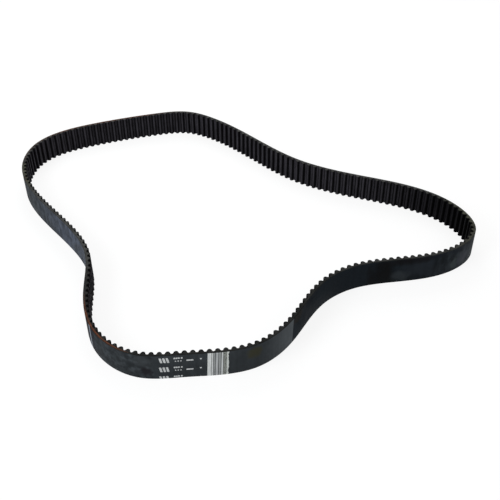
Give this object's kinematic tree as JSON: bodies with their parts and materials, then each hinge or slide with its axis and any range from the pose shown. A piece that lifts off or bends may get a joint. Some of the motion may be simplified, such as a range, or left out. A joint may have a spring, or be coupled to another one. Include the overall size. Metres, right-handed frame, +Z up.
{
  "type": "timing belt",
  "caption": "Endless rubber timing belt with rounded inner teeth, bonded from backing, cord, tooth rubber and fabric, lying on its edge in a loose loop; drives toothed pulleys without slip.",
  "frame": {"origin": "on the floor under the middle of the loop's bounding box, at the height of the belt's lower edge", "axes": "+X along the loop's longest side, +Y away from the viewer of the picture, +Z up across the belt's width"},
  "size_m": [0.5437, 0.4576, 0.032],
  "materials": {
    "backing_rubber": "ground matt rubber, faintly mottled",
    "tensile_cord": "brown dipped glass-fibre cord",
    "tooth_rubber": "cut matt rubber",
    "facing_fabric": "dull black woven nylon, rubber soaked"
  },
  "bodies": {
    "root": {"backing_rubber": "backing_rubber", "tensile_cord": "tensile_cord", "tooth_rubber": "tooth_rubber", "facing_fabric": "facing_fabric"}
  },
  "joints": []
}
